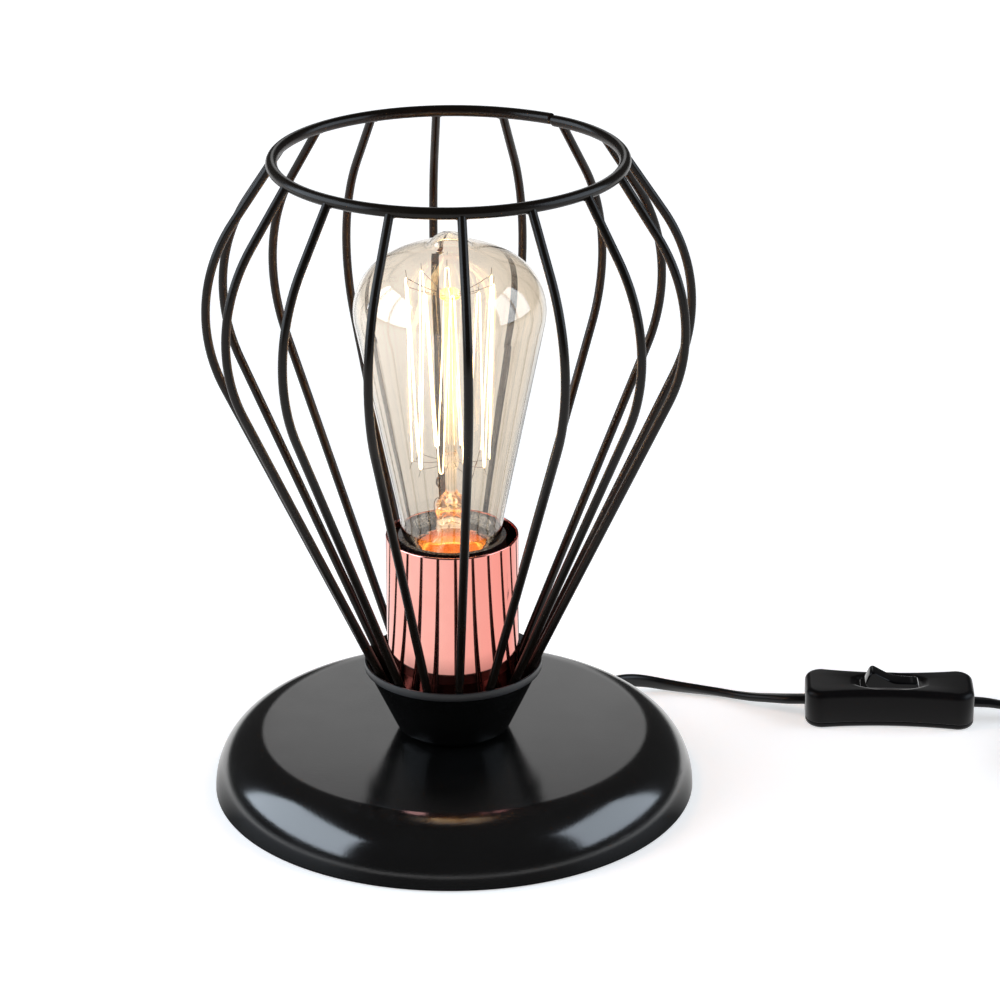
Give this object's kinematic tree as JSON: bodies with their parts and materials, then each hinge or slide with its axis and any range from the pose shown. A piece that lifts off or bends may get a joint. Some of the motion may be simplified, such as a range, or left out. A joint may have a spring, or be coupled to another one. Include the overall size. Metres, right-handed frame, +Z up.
{
  "type": "desk lamp",
  "caption": "Desk lamp with a round black base, a bulging wire cage, a copper lamp holder, a clear amber bulb with a long filament and a flat cord with an in-line rocker switch.",
  "frame": {"origin": "centre of the base, on the surface that the lamp stands on", "axes": "+Z up along the lamp; -Y towards the camera; +X to the right, where the cord leaves the view"},
  "size_m": [0.375, 0.1695, 0.2257],
  "materials": {
    "satin_black_metal": "satin black powder coat",
    "black_felt": "thin black felt",
    "raw_iron": "raw grey iron",
    "zinc_steel": "zinc-plated steel",
    "soft_black_grommet": "soft black rubber",
    "moulded_black": "moulded black, slightly glossy",
    "contact_brass": "bright brass",
    "polished_copper": "polished copper",
    "amber_glass": "clear glass with an amber tint",
    "stem_glass": "clear glass",
    "lit_filament": "drawn filament, lit",
    "bulb_wire": "thin drawn wire",
    "cap_metal": "bright aluminium",
    "black_insulator": "glossy black",
    "cord_sheath": "smooth black sheath",
    "brown_lead": "brown insulation",
    "blue_lead": "blue insulation",
    "matt_black_housing": "fine matt black",
    "glossy_rocker": "glossy black",
    "tie_band": "black band",
    "plated_pins": "bright nickel plate"
  },
  "bodies": {
    "lamp": {"base_shell": "satin_black_metal", "base_pad": "black_felt", "base_weight": "raw_iron", "base_washer": "zinc_steel", "base_nut": "zinc_steel", "threaded_tube": "zinc_steel", "cord_grommet": "soft_black_grommet", "cup": "satin_black_metal", "neck_tube": "satin_black_metal", "holder_cap": "moulded_black", "holder_shell": "moulded_black", "holder_core": "moulded_black", "screw_shell": "contact_brass", "centre_contact": "contact_brass", "live_terminal": "contact_brass", "neutral_terminal": "contact_brass", "terminal_screws": "zinc_steel", "holder_sleeve": "polished_copper", "top_ring": "satin_black_metal", "cage_rod_01": "satin_black_metal", "cage_rod_02": "satin_black_metal", "cage_rod_03": "satin_black_metal", "cage_rod_04": "satin_black_metal", "cage_rod_05": "satin_black_metal", "cage_rod_06": "satin_black_metal", "cage_rod_07": "satin_black_metal", "cage_rod_08": "satin_black_metal", "cage_rod_09": "satin_black_metal", "cage_rod_10": "satin_black_metal", "cage_rod_11": "satin_black_metal", "cage_rod_12": "satin_black_metal", "cage_rod_13": "satin_black_metal", "cage_rod_14": "satin_black_metal", "cage_rod_15": "satin_black_metal", "cage_rod_16": "satin_black_metal", "inner_cord": "cord_sheath", "live_lead": "brown_lead", "neutral_lead": "blue_lead", "switch_top": "matt_black_housing", "switch_bottom": "matt_black_housing", "rocker_pin": "zinc_steel", "switch_screws": "zinc_steel", "cord_to_switch": "cord_sheath", "cord_to_coil": "cord_sheath", "cord_coil": "cord_sheath", "coil_tie": "tie_band", "cord_tail": "cord_sheath", "plug_body": "matt_black_housing", "plug_pin_left": "plated_pins", "plug_pin_right": "plated_pins"},
    "switch_rocker": {"switch_rocker": "glossy_rocker"},
    "bulb_button": {"cap_button": "cap_metal"},
    "bulb": {"bulb_glass": "amber_glass", "bulb_stem": "stem_glass", "bulb_filament": "lit_filament", "upper_hooks": "bulb_wire", "lower_hooks": "bulb_wire", "lead_in_wires": "bulb_wire", "bulb_cap": "cap_metal", "cap_insulator": "black_insulator"}
  },
  "joints": [
    {"name": "switch_rock", "type": "hinge", "parent": "lamp", "child": "switch_rocker", "pos_m": [0.1555, 0.0489, 0.01], "axis": [0.0523, 0.9986, 0], "range_deg": [-30, 0]},
    {"name": "bulb_lift", "type": "slide", "parent": "lamp", "child": "bulb_button", "axis": [0, 0, 1], "range_m": [0, 0.0182]},
    {"name": "bulb_turn", "type": "hinge", "parent": "bulb_button", "child": "bulb", "pos_m": [0, 0, 0.1], "axis": [0, 0, 1], "range_deg": [0, 1800]}
  ],
  "couplings": [
    {"joint": "bulb_lift", "follows": "bulb_turn", "m_per_rad": 0.00057758}
  ]
}
